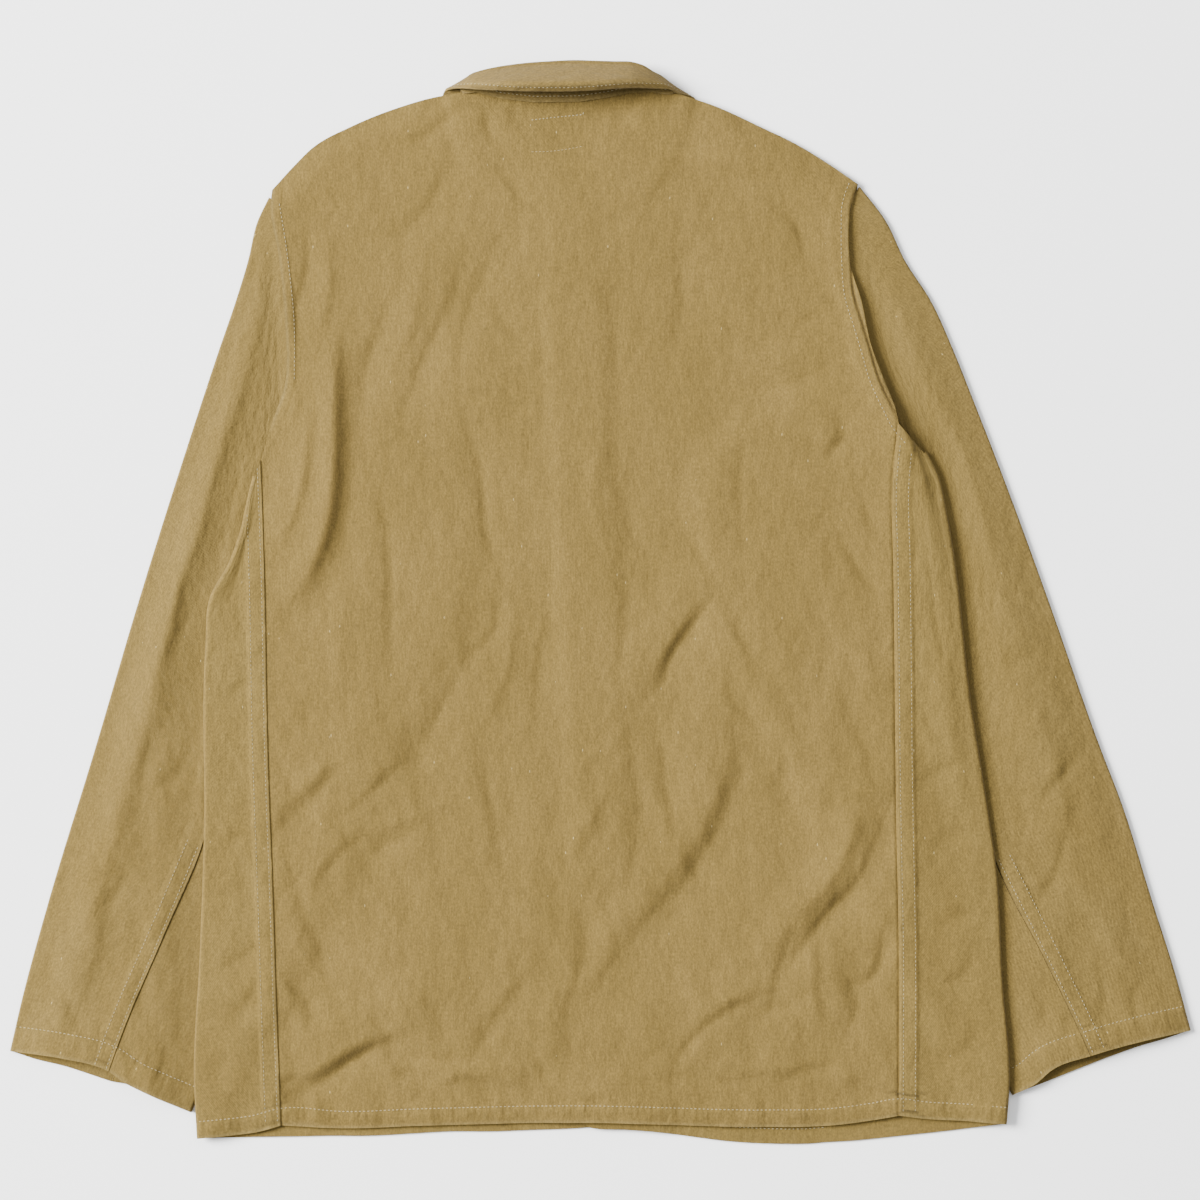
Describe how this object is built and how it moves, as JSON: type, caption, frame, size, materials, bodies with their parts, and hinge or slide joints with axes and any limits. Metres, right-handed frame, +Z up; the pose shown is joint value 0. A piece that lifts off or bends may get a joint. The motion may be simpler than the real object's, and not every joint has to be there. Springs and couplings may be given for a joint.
{
  "type": "work jacket laid flat, back upwards",
  "caption": "Plain cotton work jacket with a turn-down collar, long two-piece sleeves and a buttoned front, lying flat on its front with its back upwards.",
  "frame": {"origin": "middle of the laid jacket's outline, on the surface it lies on", "axes": "+Z up off the surface, +Y towards the collar, +X towards the sleeve on the right when it is seen from above"},
  "size_m": [0.826, 0.757, 0.0296],
  "materials": {
    "khaki_cotton": "matt cotton twill with small pale slubs",
    "button_resin": "satin dark brown resin"
  },
  "bodies": {
    "root": {"back": "khaki_cotton", "front_left": "khaki_cotton", "front_right": "khaki_cotton", "sleeve_left_top": "khaki_cotton", "sleeve_left_under": "khaki_cotton", "sleeve_right_top": "khaki_cotton", "sleeve_right_under": "khaki_cotton", "collar": "khaki_cotton", "button_1": "button_resin", "button_2": "button_resin", "button_3": "button_resin", "button_4": "button_resin", "button_5": "button_resin"}
  },
  "joints": []
}
